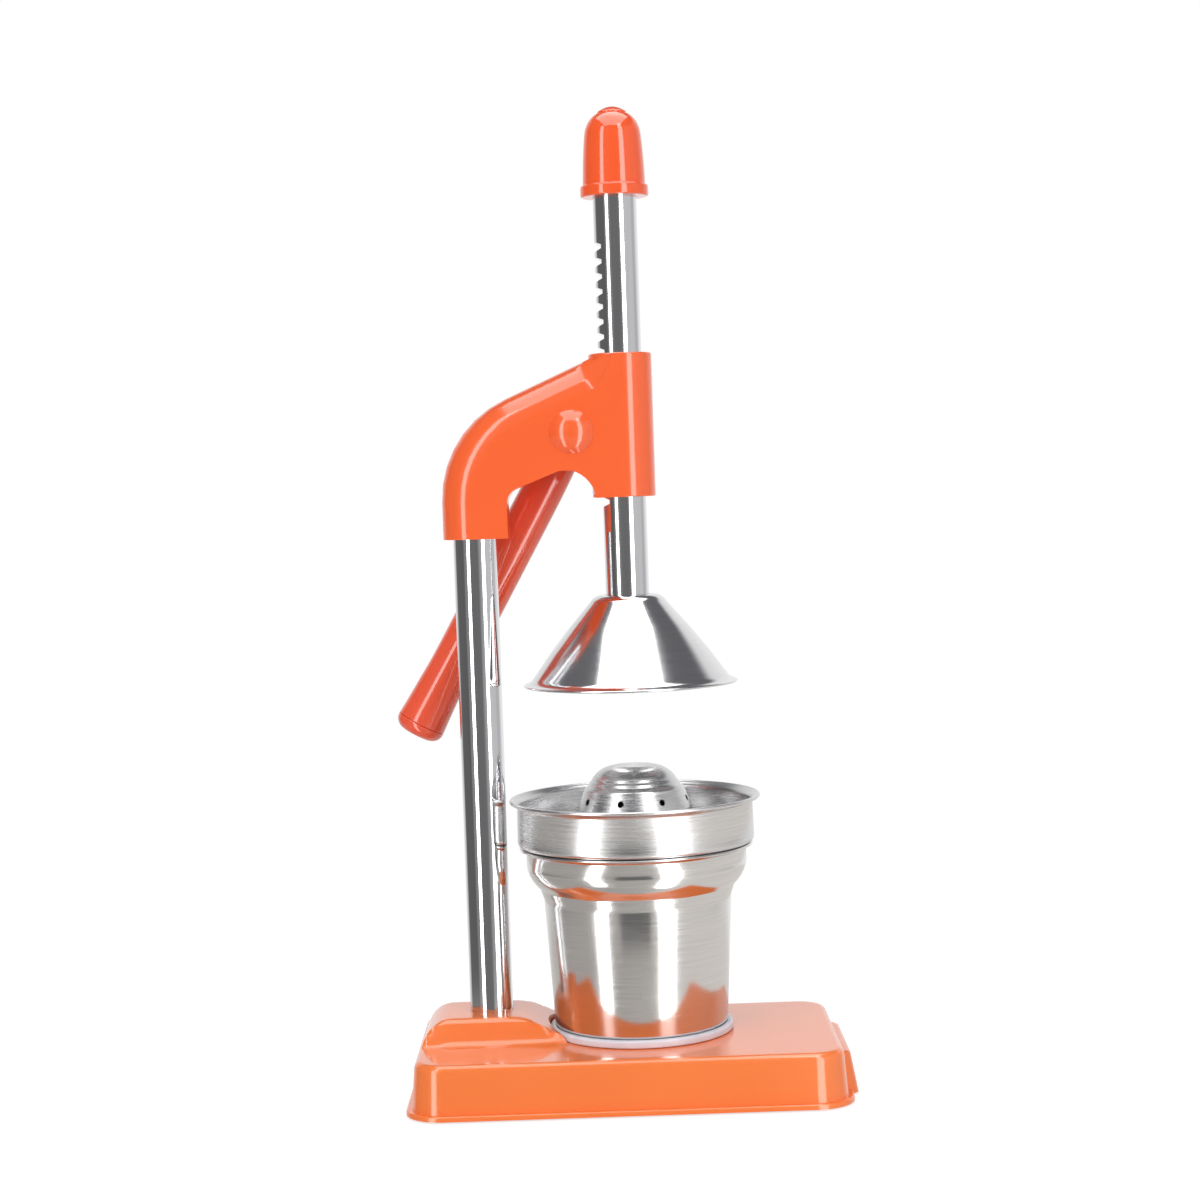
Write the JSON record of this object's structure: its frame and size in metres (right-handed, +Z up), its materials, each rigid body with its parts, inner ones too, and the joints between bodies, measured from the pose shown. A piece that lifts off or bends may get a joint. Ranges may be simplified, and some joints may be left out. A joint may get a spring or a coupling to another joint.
{
  "type": "lever citrus juice press",
  "caption": "Hand press for citrus: a lever turns a pinion that drives a toothed rod and steel cone down onto a reamer in a strainer bowl over a steel cup.",
  "frame": {"origin": "middle of the press's bounding box on the surface it stands on", "axes": "+Z up along the column, +X from the column to the pressing axis, +Y to the back where the lever is"},
  "size_m": [0.196, 0.1181, 0.4275],
  "materials": {
    "orange_enamel": "glossy sprayed enamel on a die casting",
    "orange_plastic": "glossy moulded plastic",
    "chrome_plate": "bright chrome plate",
    "cone_steel": "bright polished sheet",
    "cup_steel": "satin spun sheet",
    "bowl_steel": "satin spun sheet",
    "ring_plastic": "satin moulded plastic",
    "foot_rubber": "matte",
    "bush_plastic": "plain moulded",
    "cover_steel": "plain turned",
    "bearing_brass": "plain turned",
    "zinc_fastener": "zinc plated"
  },
  "bodies": {
    "stand": {"base_shell": "orange_enamel", "foot_pads": "foot_rubber", "column_tube": "chrome_plate", "column_insert": "zinc_fastener", "column_bolt": "zinc_fastener", "column_washer": "zinc_fastener", "arm_housing": "orange_enamel", "arm_lock_screw": "zinc_fastener", "lower_guide_bush": "bush_plastic", "upper_guide_bush": "bush_plastic", "gear_cover": "cover_steel", "front_bearing": "bearing_brass", "rear_bearing": "bearing_brass"},
    "lever": {"pinion_gear": "cover_steel", "pinion_shaft": "cover_steel", "lever_handle": "orange_plastic", "lever_end_cap": "orange_plastic", "lever_screw": "zinc_fastener", "lever_washer": "zinc_fastener"},
    "plunger": {"plunger_rod": "chrome_plate", "plunger_cap": "orange_plastic", "cap_screw": "zinc_fastener", "cap_button": "orange_plastic", "presser_cone": "cone_steel", "cone_washer": "zinc_fastener", "cone_screw": "zinc_fastener"},
    "cup": {"juice_cup": "cup_steel", "cup_foot_ring": "ring_plastic"},
    "bowl": {"strainer_bowl": "bowl_steel", "reamer_dome": "bowl_steel"}
  },
  "joints": [
    {"name": "lever_turn", "type": "hinge", "parent": "stand", "child": "lever", "pos_m": [-0.0156, 0.004, 0.287], "axis": [0, 1, 0], "range_deg": [-12, 270]},
    {"name": "plunger_slide", "type": "slide", "parent": "stand", "child": "plunger", "axis": [0, 0, -1], "range_m": [-0.0029, 0.0635]},
    {"name": "cup_slide", "type": "slide", "parent": "stand", "child": "cup", "axis": [1, 0, 0], "range_m": [0, 0.11]},
    {"name": "bowl_swivel", "type": "hinge", "parent": "cup", "child": "bowl", "pos_m": [0.0065, 0.004, 0.106], "axis": [0, 0, 1], "continuous": true}
  ],
  "couplings": [
    {"joint": "plunger_slide", "follows": "lever_turn", "m_per_rad": 0.013449}
  ]
}
